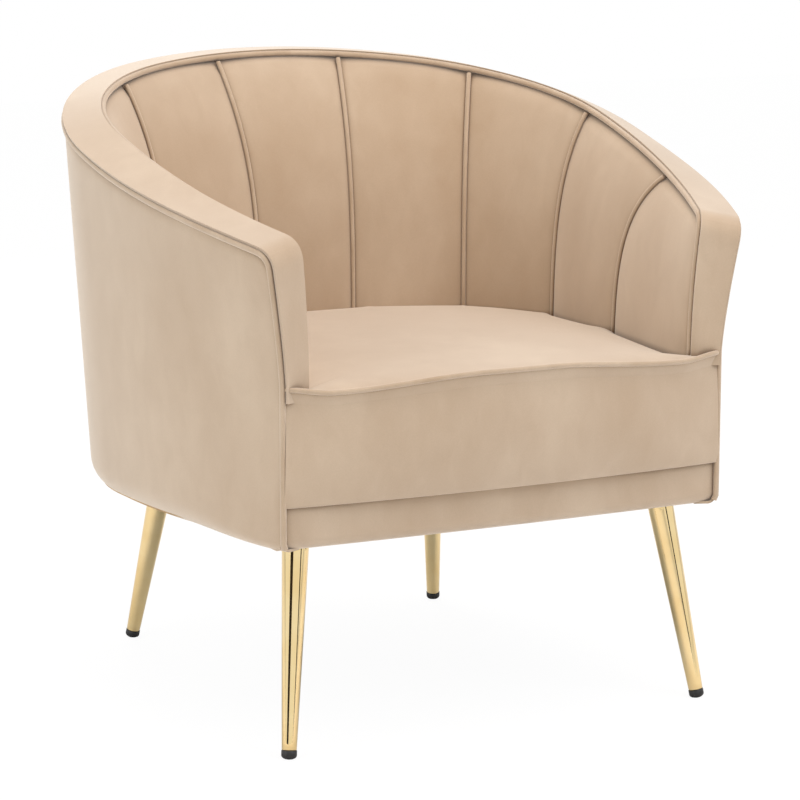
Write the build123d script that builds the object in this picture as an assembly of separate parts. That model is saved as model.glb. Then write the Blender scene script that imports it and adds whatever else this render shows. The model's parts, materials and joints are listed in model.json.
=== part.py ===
from build123d import *
import os
from dataclasses import dataclass, replace
from math import asin, atan2, cos, degrees, radians, sin, sqrt, tan

# Barrel armchair, millimetres. +Z up, +Y to the back, floor at z = 0, origin midway
# between the front of the seat and the back of the shell.

# Rim: plan of the inner piping line, three tangent arcs a side, on a tilted plane
RIM_BACK_RADIUS = 443.0
RIM_CORNER_RADIUS = 254.0
RIM_CORNER_X = 74.0
RIM_SIDE_RADIUS = 883.0
CORNER_Y = 32.5
ARM_SWEEP = 22.0
RIM_CENTRE_HEIGHT = 653.0
RIM_TILT = 15.2
RIM_WIDTH = 46.0
RIM_INNER_RISE = 7.0
# Inside of the back at the seat, where the channels stand nearly upright
SEAT_BACK_RADIUS = 560.0
SEAT_CORNER_RADIUS = 150.0
SEAT_CORNER_X = 136.0
SEAT_SIDE_RADIUS = 1700.0
SEAT_CORNER_Y = 42.5
CHANNEL_FLARE = 4.5
# Seams of the channels, as shares of half the rim, from the middle of the back
SEAM_SHARE_RIM = (0.106, 0.320, 0.550, 0.817)
SEAM_SHARE_SEAT = (0.094, 0.302, 0.490, 0.706)
CHANNEL_CROWN = 8.0
CHANNEL_LEVELS = (0.0, 0.4, 0.65, 0.84, 1.0)
BACK_STEPS = (0.0, 0.25, 0.5, 0.75, 1.0)
# Piping
WELT_RADIUS = 3.3
CHANNEL_WELT_RADIUS = 3.0
INNER_WELT_FOOT = 11.3
SEAT_WELT_RADIUS = 2.6
WELT_CLEARANCE = 0.3
WELT_CORNER = 8.0
CHANNEL_WELT_LIFT = 1.2
CHANNEL_WELT_END = 0.99
# Shell
UNDERSIDE = 238.0
BODY_OFFSET = 22.0
BOTTOM_ROLL = 24.0
COVER_THICKNESS = 3.0
COVER_WAIST = 0.55
COVER_WAIST_OFFSET = 35.0
COVER_WAIST_RADIUS = 830.0
COVER_TUCK = 16.0
BOARD_OFFSET = 8.0
BOARD_THICKNESS = 9.0
BOARD_BACK_GAP = 0.6
RIM_BAND_THICKNESS = 16.0
RIM_BAND_RISE = 4.0
RIM_BAND_INSET = 1.6
TOP_RAIL_WIDTH = 16.0
TOP_RAIL_HEIGHT = 32.0
# Base frame
RAIL_THICKNESS = 26.0
RAIL_TOP = 296.0
RAIL_HEIGHT = 54.5
RAIL_EASE = 10.0
RAIL_EASE_HEIGHT = 5.5
BACK_RAIL_START = 150.0
FRONT_RAIL_PROUD = 5.7
FRONT_RAIL_FACE = CORNER_Y - RIM_SIDE_RADIUS * sin(radians(ARM_SWEEP)) - FRONT_RAIL_PROUD
FRONT_RAIL_THICKNESS = 22.0
BLOCK_HEIGHT = 40.0
BLOCK_REACH = 62.0
# Seat
STRAP_WIDTH = 50.0
STRAP_THICKNESS = 2.0
STRAP_PITCH_X = 84.0
STRAP_PITCH_Y = 92.0
STRAP_COUNT = 5
STRAP_EDGE = 4.0
STRAP_TOP = RAIL_TOP + 2 * STRAP_THICKNESS
CHANNEL_STRAP_GAP = 2.0
CHANNEL_BOTTOM = STRAP_TOP + CHANNEL_STRAP_GAP
SEAT_EDGE_HEIGHT = 420.0
SEAT_CROWN = 19.0
SEAT_FRONT_CROWN = 5.0
SEAT_CROWN_FRONT = -175.0
SEAT_CROWN_REAR = 42.5
SEAT_REAR_STATION = 264.0
SEAT_DOME_HALF_WIDTH = 331.0
SEAT_BACK_LINE = FRONT_RAIL_FACE - 10.0
SEAT_CLEARANCE = 1.0
SEAT_SIDE_GAP = 9.0
SEAT_EAR = 274.0
BOXING_HALF_WIDTH = 281.0
BOXING_BOTTOM = 291.0
BOXING_TOP = SEAT_EDGE_HEIGHT + 1.0
BOXING_END = FRONT_RAIL_FACE - 16.0
BOXING_BOTTOM_BULGE = FRONT_RAIL_FACE - 22.0
BOXING_MID_BULGE = FRONT_RAIL_FACE - 46.0
BOXING_TOP_BULGE = FRONT_RAIL_FACE - 39.0
RAIL_COVER_HALF_WIDTH = 278.0
RAIL_COVER_END = FRONT_RAIL_FACE - 11.0
RAIL_COVER_BULGE = FRONT_RAIL_FACE - 15.0
RAIL_COVER_THICKNESS = 3.0
RAIL_COVER_ROUND = 10.0
DUST_COVER_THICKNESS = 1.0
# Arm fronts
ARM_PANEL_THICKNESS = 8.0
ARM_PANEL_BOTTOM = BOXING_TOP + 3.0
ARM_PANEL_ROUND = 6.0
# Legs and feet
FRONT_FOOT = (272.0, -301.0)
FRONT_LEG_TOP = (241.4, -257.5)
BACK_FOOT = (222.3, 276.0)
BACK_LEG_TOP = (192.3, 226.0)
LEG_TOP_DIAMETER = 31.0
LEG_FOOT_DIAMETER = 17.0
LEG_WALL = 2.0
LEG_CAP = 6.0
GLIDE_HEIGHT = 10.0
GLIDE_OVERHANG = 0.4
GLIDE_STEM = 14.0
GLIDE_DOME_RADIUS = 14.24
GLIDE_FLAT_DEPTH = 0.6
GLIDE_CLEARANCE = 0.2
STUD_DIAMETER = 8.0
STUD_HOLE = 8.6
TEE_NUT_BARREL = 11.0
TEE_NUT_FLANGE = 18.0
TEE_NUT_FLANGE_THICKNESS = 1.5

TALL = 900.0
UP = (0, 0, 1)


@dataclass(frozen=True)
class Plan:
    """A horseshoe outline: back, corner and side arcs, alike on both sides."""

    back_radius: float
    corner_radius: float
    corner_x: float
    corner_y: float
    side_radius: float
    arm_sweep: float

    def grown(self, distance):
        """The same arcs, moved outwards."""
        return replace(
            self,
            back_radius=self.back_radius + distance,
            corner_radius=self.corner_radius + distance,
            side_radius=self.side_radius + distance,
        )

    def arcs(self):
        """Centre, radius and start and end angle from +Y of each arc of the right half."""
        reach = self.back_radius - self.corner_radius
        turn = degrees(asin(self.corner_x / reach))
        back_centre = (0.0, self.corner_y - sqrt(reach**2 - self.corner_x**2))
        side_centre = (self.corner_x + self.corner_radius - self.side_radius, self.corner_y)
        return (
            (back_centre, self.back_radius, 0.0, turn),
            ((self.corner_x, self.corner_y), self.corner_radius, turn, 90.0),
            (side_centre, self.side_radius, 90.0, 90.0 + self.arm_sweep),
        )

    def at(self, share):
        """Point and outward normal at a share of the half outline; negative is the left."""
        arcs = self.arcs()
        lengths = [radius * radians(end - start) for _, radius, start, end in arcs]
        left = abs(share) * sum(lengths)
        for (centre, radius, start, _), length in zip(arcs, lengths):
            if left <= length or length is lengths[-1]:
                angle = radians(start) + left / radius
                break
            left -= length
        side = -1.0 if share < 0 else 1.0
        normal = Vector(side * sin(angle), cos(angle), 0)
        point = Vector(side * (centre[0] + radius * sin(angle)), centre[1] + radius * cos(angle), 0)
        return point, normal

    def spans(self):
        """Start, middle and end of the five arcs, from the left arm to the right arm."""
        right = []
        for centre, radius, start, end in self.arcs():
            angles = [radians(start), radians((start + end) / 2), radians(end)]
            right.append(
                [Vector(centre[0] + radius * sin(a), centre[1] + radius * cos(a), 0) for a in angles]
            )
        back, corner, side = right
        mirrored = [[Vector(-p.X, p.Y, 0) for p in reversed(span)] for span in (side, corner)]
        back_full = [Vector(-back[2].X, back[2].Y, 0), back[0], back[2]]
        return mirrored + [back_full, corner, side]


RIM = Plan(RIM_BACK_RADIUS, RIM_CORNER_RADIUS, RIM_CORNER_X, CORNER_Y, RIM_SIDE_RADIUS, ARM_SWEEP)
SIDE_CENTRE_X = RIM_CORNER_X + RIM_CORNER_RADIUS - RIM_SIDE_RADIUS
ARM_ACROSS = Vector(cos(radians(ARM_SWEEP)), -sin(radians(ARM_SWEEP)), 0)
ARM_FORWARD = Vector(-sin(radians(ARM_SWEEP)), -cos(radians(ARM_SWEEP)), 0)
ARM_ROOT = Vector(SIDE_CENTRE_X, CORNER_Y, 0)


def sweep_to_arm_end(side_radius, half_width, corner_y):
    """Angle at which a side arc of another radius meets the plane of the arm's end."""
    centre = Vector(half_width - side_radius, corner_y, 0)
    gap = ARM_ROOT - centre
    along = ARM_ACROSS.dot(gap)
    travel = -along + sqrt(along**2 - gap.dot(gap) + side_radius**2)
    meet = gap + ARM_ACROSS * travel
    return degrees(atan2(-meet.Y, meet.X))


SEAT_HALF_WIDTH = SEAT_CORNER_X + SEAT_CORNER_RADIUS
SEAT = Plan(
    SEAT_BACK_RADIUS,
    SEAT_CORNER_RADIUS,
    SEAT_CORNER_X,
    SEAT_CORNER_Y,
    SEAT_SIDE_RADIUS,
    sweep_to_arm_end(SEAT_SIDE_RADIUS, SEAT_HALF_WIDTH, SEAT_CORNER_Y),
)


def rim_height(y, rise=0.0):
    """Height of the outer piping line at a depth, plus a rise."""
    return RIM_CENTRE_HEIGHT + y * tan(radians(RIM_TILT)) + rise


def rim_plane(rise):
    """The tilted rim plane, moved up by a rise."""
    normal = (0, -sin(radians(RIM_TILT)), cos(radians(RIM_TILT)))
    return Plane(origin=(0, 0, RIM_CENTRE_HEIGHT + rise), x_dir=(1, 0, 0), z_dir=normal)


def at_height(z):
    """A lift that puts plan points on one level."""
    return lambda point: Vector(point.X, point.Y, z)


def at_share(base, share, rise):
    """A lift that puts plan points a share of the way from a level to the rim."""
    return lambda point: Vector(
        point.X, point.Y, base + share * (rim_height(point.Y, rise) - base)
    )


def outline_edges(plan, lift):
    """The five arcs of a plan, lifted."""
    return [ThreePointArc(*[lift(point) for point in span]) for span in plan.spans()]


def strip(inner, outer, lift):
    """The horseshoe face between two plans, lifted."""
    inside = outline_edges(inner, lift)
    outside = outline_edges(outer, lift)
    ends = [Line(inside[0] @ 0, outside[0] @ 0), Line(inside[-1] @ 1, outside[-1] @ 1)]
    return make_face(Wire(inside + outside + ends).edges())


def below(part, rise):
    """The part of a solid under the rim plane."""
    return split(part, bisect_by=rim_plane(rise), keep=Keep.BOTTOM)


def above(part, rise):
    """The part of a solid over the rim plane."""
    return split(part, bisect_by=rim_plane(rise), keep=Keep.TOP)


def horseshoe_wall(inner, outer, bottom):
    """An upright horseshoe wall from a level to well over the rim."""
    return extrude(strip(inner, outer, at_height(bottom)), TALL - bottom)


def tangent_chain(points, tangent):
    """Arcs through points in turn, each going on in the direction of the last."""
    edges = []
    for start, end in zip(points, points[1:]):
        arc = TangentArc(start, end, tangent=tangent)
        edges.append(arc)
        tangent = arc % 1
    return edges


def tube(edges, radius):
    """A round cord along joined edges."""
    path = Wire(edges)
    return sweep(Plane(origin=path @ 0, z_dir=path % 0) * Circle(radius), path=path)


def rail_along(plan, level, corners):
    """A solid swept round a plan from a profile of outward and upward distances."""
    path = Wire(outline_edges(plan, at_height(level)))
    start, outward = plan.at(-1.0)
    plane = Plane(origin=at_height(level)(start), x_dir=outward, z_dir=path % 0)
    return sweep(plane * corners, path=path)


def both_sides(part):
    """A solid and its mirror image across the chair."""
    return [part, mirror(part, about=Plane.YZ)]


def curved_rails():
    """Side and back rails: one bent profile with an eased lower edge, cut in three."""
    profile = make_face(
        Polyline(
            (0, 0),
            (0, RAIL_EASE_HEIGHT - RAIL_HEIGHT),
            (-RAIL_EASE, -RAIL_HEIGHT),
            (-RAIL_THICKNESS, -RAIL_HEIGHT),
            (-RAIL_THICKNESS, 0),
            close=True,
        )
    )
    ring = rail_along(RIM.grown(BOARD_OFFSET), RAIL_TOP, profile)
    behind = Plane(origin=(0, BACK_RAIL_START, 0), z_dir=(0, 1, 0))
    back = split(ring, bisect_by=behind, keep=Keep.TOP)
    sides = split(ring, bisect_by=behind, keep=Keep.BOTTOM).solids()
    left, right = sorted(sides, key=lambda solid: solid.center().X)
    return back, left, right


def inside_rails():
    """The space inside the rails, as a tall solid."""
    plan = RIM.grown(BOARD_OFFSET - RAIL_THICKNESS)
    edges = outline_edges(plan, at_height(0))
    closing = Line(edges[-1] @ 1, edges[0] @ 0)
    main = extrude(make_face(Wire(edges + [closing]).edges()), TALL)
    middle = FRONT_RAIL_FACE + FRONT_RAIL_THICKNESS
    front = Pos(0, middle, TALL / 2) * Box(2 * SEAT_HALF_WIDTH, 2 * FRONT_RAIL_THICKNESS, TALL)
    side = extrude(strip(plan, RIM.grown(RIM_WIDTH), at_height(0)), TALL)
    return main + (front - side)


def front_rail(space):
    """Straight rail between the side rails."""
    middle = FRONT_RAIL_FACE + FRONT_RAIL_THICKNESS / 2
    blank = Pos(0, middle, RAIL_TOP - RAIL_HEIGHT / 2) * Box(
        2 * SEAT_HALF_WIDTH, FRONT_RAIL_THICKNESS, RAIL_HEIGHT
    )
    return blank & space


def leg_places():
    """Name, foot and top of each leg."""
    places = []
    rows = (("front", FRONT_FOOT, FRONT_LEG_TOP), ("back", BACK_FOOT, BACK_LEG_TOP))
    for side, sign in (("left", -1), ("right", 1)):
        for row, foot, top in rows:
            foot_point = Vector(sign * foot[0], foot[1], 0)
            top_point = Vector(sign * top[0], top[1], 0)
            places.append((f"{row}_{side}", foot_point, top_point))
    return places


def corner_blocks(space):
    """Blocks in the corners of the base, bored for the leg studs."""
    rail_back = FRONT_RAIL_FACE + FRONT_RAIL_THICKNESS
    blocks = []
    for name, _, top in leg_places():
        blank = Pos(top.X, top.Y, UNDERSIDE + BLOCK_HEIGHT / 2) * Box(
            BLOCK_REACH, BLOCK_REACH, BLOCK_HEIGHT
        )
        if name.startswith("front"):
            keep_out = Plane(origin=(0, rail_back, 0), z_dir=(0, 1, 0))
            blank = split(blank, bisect_by=keep_out, keep=Keep.TOP)
        bore = Pos(top.X, top.Y, UNDERSIDE) * Cylinder(
            TEE_NUT_BARREL / 2, 2 * BLOCK_HEIGHT, align=(Align.CENTER, Align.CENTER, Align.CENTER)
        )
        blocks.append((blank & space) - bore)
    return Compound(children=[block.solids()[0] for block in blocks])


def dust_cover(space):
    """Thin cloth under the base, with holes for the studs."""
    sheet = Pos(0, 0, UNDERSIDE - DUST_COVER_THICKNESS / 2) * Box(TALL, TALL, DUST_COVER_THICKNESS)
    cloth = sheet & space
    for _, _, top in leg_places():
        cloth -= Pos(top.X, top.Y, UNDERSIDE) * Cylinder(STUD_HOLE / 2, 2 * STUD_HOLE)
    return cloth


def shell_board():
    """Bent plywood shell inside the back and arms."""
    inner = RIM.grown(BOARD_OFFSET)
    wall = horseshoe_wall(inner, inner.grown(BOARD_THICKNESS), UNDERSIDE + BOTTOM_ROLL)
    return below(wall, RIM_BAND_RISE - RIM_BAND_THICKNESS)


def top_rail():
    """Bent rail behind the board that carries the rim."""
    inner = RIM.grown(BOARD_OFFSET + BOARD_THICKNESS)
    wall = horseshoe_wall(inner, inner.grown(TOP_RAIL_WIDTH), UNDERSIDE)
    top = RIM_BAND_RISE - RIM_BAND_THICKNESS
    return above(below(wall, top), top - TOP_RAIL_HEIGHT)


def outer_cover():
    """Outside cover: leaning wall, waisted at the arms, rolled under at the bottom."""
    base = UNDERSIDE + BOTTOM_ROLL
    waist_half = RIM_CORNER_X + RIM_CORNER_RADIUS + COVER_WAIST_OFFSET
    waist = replace(
        RIM.grown(COVER_WAIST_OFFSET),
        side_radius=COVER_WAIST_RADIUS,
        arm_sweep=sweep_to_arm_end(COVER_WAIST_RADIUS, waist_half, CORNER_Y),
    )
    drop = -WELT_RADIUS - WELT_CLEARANCE
    sections = []
    for share, plan in ((0.0, RIM.grown(BODY_OFFSET)), (COVER_WAIST, waist), (1.0, RIM.grown(RIM_WIDTH))):
        sections.append(strip(plan.grown(-COVER_THICKNESS), plan, at_share(base, share, drop)))
    wall = loft(sections)
    inner_roll = BOTTOM_ROLL - COVER_THICKNESS
    turn = cos(radians(45))
    profile = make_face(
        [
            ThreePointArc(
                (0, 0),
                (BOTTOM_ROLL * (turn - 1), -BOTTOM_ROLL * turn),
                (-BOTTOM_ROLL, -BOTTOM_ROLL),
            ),
            Polyline(
                (-BOTTOM_ROLL, -BOTTOM_ROLL),
                (-BOTTOM_ROLL - COVER_TUCK, -BOTTOM_ROLL),
                (-BOTTOM_ROLL - COVER_TUCK, -inner_roll),
                (-BOTTOM_ROLL, -inner_roll),
            ),
            ThreePointArc(
                (-BOTTOM_ROLL, -inner_roll),
                (inner_roll * turn - BOTTOM_ROLL, -inner_roll * turn),
                (-COVER_THICKNESS, 0),
            ),
            Line((-COVER_THICKNESS, 0), (0, 0)),
        ]
    )
    return wall + rail_along(RIM.grown(BODY_OFFSET), base, profile)


def rim_band():
    """Padded band along the top of the arms and back, between the two pipings."""
    gap = WELT_RADIUS + WELT_CLEARANCE + RIM_BAND_INSET
    wall = horseshoe_wall(
        RIM.grown(BOARD_OFFSET + WELT_CLEARANCE), RIM.grown(RIM_WIDTH - gap), UNDERSIDE
    )
    return above(below(wall, RIM_BAND_RISE), RIM_BAND_RISE - RIM_BAND_THICKNESS)


def arm_front():
    """Padded panel on the end of the right arm, between the two pipings, rounded at the top."""
    corner = ARM_ROOT + ARM_ACROSS * RIM_SIDE_RADIUS
    front = Plane(origin=corner, x_dir=ARM_ACROSS, z_dir=ARM_FORWARD)
    top = rim_height(corner.Y, RIM_INNER_RISE)
    gap = WELT_RADIUS + WELT_CLEARANCE
    foot_in = gap - INNER_WELT_FOOT
    foot_out = BODY_OFFSET - gap
    head_in = gap
    head_out = RIM_WIDTH - gap
    upward = Vector(0, 1, 0)
    face = make_face(
        [
            Line((foot_in, ARM_PANEL_BOTTOM), (foot_out, ARM_PANEL_BOTTOM)),
            TangentArc((foot_out, ARM_PANEL_BOTTOM), (head_out, top), tangent=upward),
            Line((head_out, top), (head_in, top)),
            TangentArc((foot_in, ARM_PANEL_BOTTOM), (head_in, top), tangent=upward),
        ]
    )
    panel = below(extrude(front * face, ARM_PANEL_THICKNESS), RIM_BAND_RISE)
    top_face = panel.faces().sort_by(Axis(origin=(0, 0, 0), direction=rim_plane(0.0).z_dir))[-1]
    forward = Axis(origin=(0, 0, 0), direction=ARM_FORWARD)
    return fillet(top_face.edges().sort_by(forward)[-1], ARM_PANEL_ROUND)


def seam_point(share_rim, share_seat, level, rise, inward):
    """Point of the inside of the back, a share of the way up, moved into the room."""
    top, top_normal = RIM.at(share_rim)
    foot, foot_normal = SEAT.at(share_seat)
    flare = level**CHANNEL_FLARE
    place = foot + (top - foot) * flare
    normal = (foot_normal + (top_normal - foot_normal) * flare).normalized()
    return at_share(CHANNEL_BOTTOM, level, rise)(place - normal * inward)


def channel(shares_rim, shares_seat):
    """One upright channel: a crowned pad between two seams, thin at the rim."""
    rise = RIM_INNER_RISE - WELT_RADIUS - WELT_CLEARANCE
    board = RIM.grown(BOARD_OFFSET - BOARD_BACK_GAP)
    middle_rim = sum(shares_rim) / 2
    middle_seat = sum(shares_seat) / 2
    sections = []
    for level in CHANNEL_LEVELS:
        lift = at_share(CHANNEL_BOTTOM, level, rise)
        first = seam_point(shares_rim[0], shares_seat[0], level, rise, 0)
        last = seam_point(shares_rim[1], shares_seat[1], level, rise, 0)
        crown = CHANNEL_CROWN * (1 - level / 2)
        front = seam_point(middle_rim, middle_seat, level, rise, crown)
        width = shares_rim[1] - shares_rim[0]
        back = [lift(board.at(shares_rim[0] + width * step)[0]) for step in BACK_STEPS]
        face = make_face(
            [
                ThreePointArc(first, front, last),
                Line(last, back[4]),
                ThreePointArc(back[4], back[3], back[2]),
                ThreePointArc(back[2], back[1], back[0]),
                Line(back[0], first),
            ]
        )
        sections.append(face)
    return loft(sections)


def channels():
    """The nine channels, from the left arm to the right arm."""
    half_rim = SEAM_SHARE_RIM + (1.0,)
    half_seat = SEAM_SHARE_SEAT + (1.0,)
    rim_shares = [-share for share in reversed(half_rim)] + list(half_rim)
    seat_shares = [-share for share in reversed(half_seat)] + list(half_seat)
    pads = []
    for index in range(len(rim_shares) - 1):
        pads.append(channel(rim_shares[index : index + 2], seat_shares[index : index + 2]))
    return pads


def channel_welts():
    """Piping up the eight seams between the channels."""
    rise = RIM_INNER_RISE - WELT_RADIUS - WELT_CLEARANCE
    levels = CHANNEL_LEVELS[:-1] + (CHANNEL_WELT_END,)
    proud = CHANNEL_WELT_RADIUS + CHANNEL_WELT_LIFT
    cords = []
    for share_rim, share_seat in zip(SEAM_SHARE_RIM, SEAM_SHARE_SEAT):
        points = [
            seam_point(share_rim, share_seat, level, rise, proud) for level in levels
        ]
        cords += both_sides(tube(tangent_chain(points, Vector(*UP)), CHANNEL_WELT_RADIUS))
    return Compound(children=[cord.solids()[0] for cord in cords])


def rim_welt(offset, rise, turns):
    """Piping along the rim that turns down the arm fronts through offsets and heights."""
    forward = ARM_FORWARD * (ARM_PANEL_THICKNESS / 2)
    lap = degrees((ARM_PANEL_THICKNESS / 2 - WELT_CORNER) / (RIM_SIDE_RADIUS + offset))
    plan = replace(RIM.grown(offset), arm_sweep=ARM_SWEEP + lap)
    lift = at_share(0.0, 1.0, rise)
    back, corner, side = plan.spans()[2:]
    points = [lift(back[1]), lift(back[2]), lift(corner[2]), lift(side[2])]
    rim_edges = tangent_chain(points, Vector(1, 0, 0))
    ahead = rim_edges[-1] % 1
    tip = points[-1] + ahead * WELT_CORNER
    lean = 2 * atan2(offset - turns[0][0], tip.Z - turns[0][1])
    down = ARM_ACROSS * -sin(lean) + Vector(0, 0, -cos(lean))
    stops = [points[-1], tip + down * WELT_CORNER]
    for turn_offset, height in turns:
        place = ARM_ROOT + ARM_ACROSS * (RIM_SIDE_RADIUS + turn_offset) + forward
        stops.append(at_height(height)(place))
    right, left = both_sides(tube(rim_edges + tangent_chain(stops, ahead), WELT_RADIUS))
    return right + left


def straps():
    """Elastic seat straps: one layer front to back and one across, over the rails."""
    plan = RIM.grown(STRAP_EDGE)
    edges = outline_edges(plan, at_height(RAIL_TOP))
    closing = Line(edges[-1] @ 1, edges[0] @ 0)
    limit = extrude(make_face(Wire(edges + [closing]).edges()), 2 * STRAP_THICKNESS)
    middle = (STRAP_COUNT - 1) / 2
    lengthwise = []
    crosswise = []
    for index in range(STRAP_COUNT):
        step = index - middle
        lower = RAIL_TOP + STRAP_THICKNESS / 2
        upper = lower + STRAP_THICKNESS
        long_strap = Pos(step * STRAP_PITCH_X, 0, lower) * Box(STRAP_WIDTH, TALL, STRAP_THICKNESS)
        cross_strap = Pos(0, step * STRAP_PITCH_Y - STRAP_WIDTH, upper) * Box(
            TALL, STRAP_WIDTH, STRAP_THICKNESS
        )
        lengthwise.append((long_strap & limit).solids()[0])
        crosswise.append((cross_strap & limit).solids()[0])
    return Compound(children=lengthwise), Compound(children=crosswise)


def seat_cushion():
    """Fixed seat: crowned top, shaped to the inside of the back, with ears at the front."""
    plan = SEAT.grown(-SEAT_SIDE_GAP)
    lift = at_height(STRAP_TOP)
    edges = outline_edges(plan, lift)
    right_end = edges[-1] @ 1
    forward = ARM_FORWARD * SEAT_CLEARANCE
    ear = ARM_ROOT + ARM_ACROSS * (RIM_SIDE_RADIUS + BODY_OFFSET - SEAT_SIDE_GAP) + forward
    right_step = right_end + forward
    corners = [
        right_end,
        right_step,
        lift(ear),
        lift(Vector(SEAT_EAR, SEAT_BACK_LINE, 0)),
    ]
    mirrored = [Vector(-corner.X, corner.Y, corner.Z) for corner in reversed(corners)]
    front = Polyline(*corners, *mirrored)
    footprint = extrude(make_face(Wire(edges + front.edges()).edges()), TALL)
    half = SEAT_DOME_HALF_WIDTH
    base = STRAP_TOP
    edge = SEAT_EDGE_HEIGHT - SEAT_CLEARANCE - SEAT_WELT_RADIUS
    stations = (
        (BOXING_MID_BULGE, SEAT_FRONT_CROWN),
        (SEAT_CROWN_FRONT, SEAT_CROWN),
        (SEAT_CROWN_REAR, SEAT_CROWN),
        (SEAT_REAR_STATION, 0.0),
    )
    sections = []
    for y, crown in stations:
        sections.append(
            make_face(
                [
                    Line((-half, y, base), (half, y, base)),
                    Line((half, y, base), (half, y, edge)),
                    ThreePointArc((half, y, edge), (0, y, SEAT_EDGE_HEIGHT + crown), (-half, y, edge)),
                    Line((-half, y, edge), (-half, y, base)),
                ]
            )
        )
    return loft(sections) & footprint


def seat_front_boxing():
    """Padded front of the seat, from arm front to arm front."""
    sections = []
    levels = (
        (BOXING_BOTTOM, BOXING_BOTTOM_BULGE),
        ((BOXING_BOTTOM + BOXING_TOP) / 2, BOXING_MID_BULGE),
        (BOXING_TOP, BOXING_TOP_BULGE),
    )
    back = SEAT_BACK_LINE - WELT_CLEARANCE
    half = BOXING_HALF_WIDTH
    for z, bulge in levels:
        sections.append(
            make_face(
                [
                    ThreePointArc((-half, BOXING_END, z), (0, bulge, z), (half, BOXING_END, z)),
                    Line((half, BOXING_END, z), (half, back, z)),
                    Line((half, back, z), (-half, back, z)),
                    Line((-half, back, z), (-half, BOXING_END, z)),
                ]
            )
        )
    return loft(sections)


def seat_welt():
    """Piping along the front edge of the seat."""
    inset = 2 * SEAT_WELT_RADIUS
    z = BOXING_TOP + SEAT_WELT_RADIUS + WELT_CLEARANCE
    arc = ThreePointArc(
        (-BOXING_HALF_WIDTH + inset, BOXING_END + SEAT_WELT_RADIUS, z),
        (0, BOXING_TOP_BULGE + SEAT_WELT_RADIUS, z),
        (BOXING_HALF_WIDTH - inset, BOXING_END + SEAT_WELT_RADIUS, z),
    )
    return tube([arc], SEAT_WELT_RADIUS)


def front_rail_cover():
    """Covered band on the front rail, below the seat, rounded under."""
    half = RAIL_COVER_HALF_WIDTH
    end_back = RAIL_COVER_END + RAIL_COVER_THICKNESS
    inner_half = SEAT_HALF_WIDTH - 2 * RAIL_THICKNESS
    face = make_face(
        [
            ThreePointArc((-half, RAIL_COVER_END), (0, RAIL_COVER_BULGE), (half, RAIL_COVER_END)),
            Polyline(
                (half, RAIL_COVER_END),
                (half, end_back),
                (inner_half, FRONT_RAIL_FACE),
                (-inner_half, FRONT_RAIL_FACE),
                (-half, end_back),
                (-half, RAIL_COVER_END),
            ),
        ]
    )
    band = extrude(Pos(0, 0, UNDERSIDE) * face, BOXING_BOTTOM - UNDERSIDE)
    front_edge = band.edges().filter_by(GeomType.CIRCLE).sort_by(Axis.Z)[0]
    return fillet(front_edge, RAIL_COVER_ROUND)


def leg(foot, top):
    """Tapered metal tube, cut level at the top, with its stud and push-in glide."""
    head = Vector(top.X, top.Y, UNDERSIDE - DUST_COVER_THICKNESS)
    axis = (head - foot).normalized()
    length = (head - foot).length
    frame = Plane(origin=foot, z_dir=axis)
    spare = LEG_TOP_DIAMETER
    slope = (LEG_TOP_DIAMETER - LEG_FOOT_DIAMETER) / (length - GLIDE_HEIGHT) / 2

    def radius_at(distance):
        return LEG_FOOT_DIAMETER / 2 + slope * (distance - GLIDE_HEIGHT)

    profile = Polyline(
        (0, GLIDE_HEIGHT),
        (radius_at(GLIDE_HEIGHT), GLIDE_HEIGHT),
        (radius_at(length + spare), length + spare),
        (0, length + spare),
        close=True,
    )
    outer = revolve(Plane.XZ * make_face(profile), Axis.Z)
    bore_end = length - LEG_CAP - LEG_TOP_DIAMETER * (1 - axis.Z)
    bore_profile = Polyline(
        (0, GLIDE_HEIGHT),
        (radius_at(GLIDE_HEIGHT) - LEG_WALL, GLIDE_HEIGHT),
        (radius_at(bore_end) - LEG_WALL, bore_end - LEG_WALL),
        (0, bore_end - LEG_WALL),
        close=True,
    )
    bore = revolve(Plane.XZ * make_face(bore_profile), Axis.Z)
    metal = split(frame * (outer - bore), bisect_by=Plane(origin=head, z_dir=UP), keep=Keep.BOTTOM)
    stud_hole = Pos(head.X, head.Y, head.Z) * Cylinder(STUD_DIAMETER / 2, 2 * LEG_CAP)
    metal -= stud_hole
    return metal, glide(frame, axis)


def glide(frame, axis):
    """Black push-in foot: stem in the tube, shoulder on its end, dome on the floor."""
    radius = LEG_FOOT_DIAMETER / 2 + GLIDE_OVERHANG
    stem = LEG_FOOT_DIAMETER / 2 - LEG_WALL - GLIDE_CLEARANCE
    tilt_sine = sqrt(1 - axis.Z**2)
    dome = GLIDE_DOME_RADIUS
    crown = dome - sqrt(dome**2 - radius**2)
    lowest = dome * (1 - axis.Z) + GLIDE_FLAT_DEPTH
    base = -lowest * (1 - tilt_sine**2)
    profile = make_face(
        [
            ThreePointArc(
                (0, base),
                (radius / 2, base + dome - sqrt(dome**2 - radius**2 / 4)),
                (radius, base + crown),
            ),
            Polyline(
                (radius, base + crown),
                (radius, GLIDE_HEIGHT),
                (stem, GLIDE_HEIGHT),
                (stem, GLIDE_HEIGHT + GLIDE_STEM),
                (0, GLIDE_HEIGHT + GLIDE_STEM),
                (0, base),
            ),
        ]
    )
    solid = frame * revolve(Plane.XZ * profile, Axis.Z)
    return split(solid, bisect_by=Plane.XY, keep=Keep.TOP)


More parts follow.
